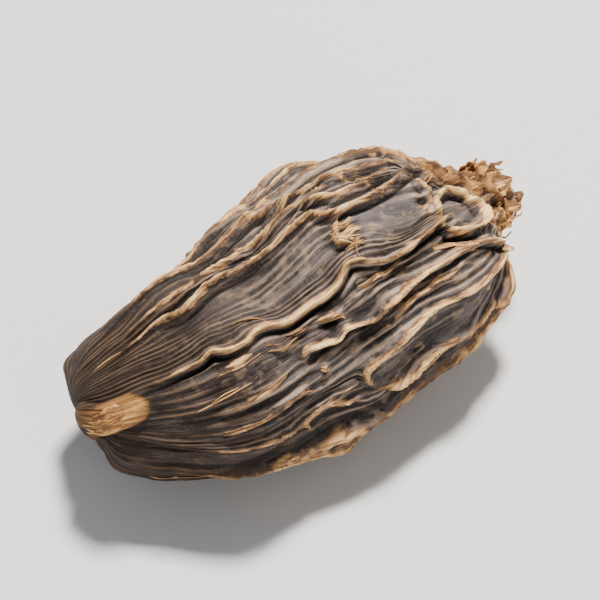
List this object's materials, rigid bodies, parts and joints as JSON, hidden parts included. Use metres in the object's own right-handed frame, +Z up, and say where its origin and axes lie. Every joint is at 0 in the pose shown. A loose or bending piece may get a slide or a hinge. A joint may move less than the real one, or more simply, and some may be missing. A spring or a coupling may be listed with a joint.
{
  "type": "black cardamom pod",
  "caption": "Whole dried black cardamom pod lying on its side: egg-shaped husk with wandering lengthwise ridges, a broken stalk stub and a withered flower end.",
  "frame": {"origin": "on the surface that the pod lies on, under the middle of its bounding box", "axes": "+X from the stalk end to the withered flower end, +Z up"},
  "size_m": [0.034, 0.0194, 0.0163],
  "materials": {
    "husk": "dry, dull and fibrous dark grey-brown husk with paler tan crests"
  },
  "bodies": {
    "root": {"pod": "husk"}
  },
  "joints": []
}
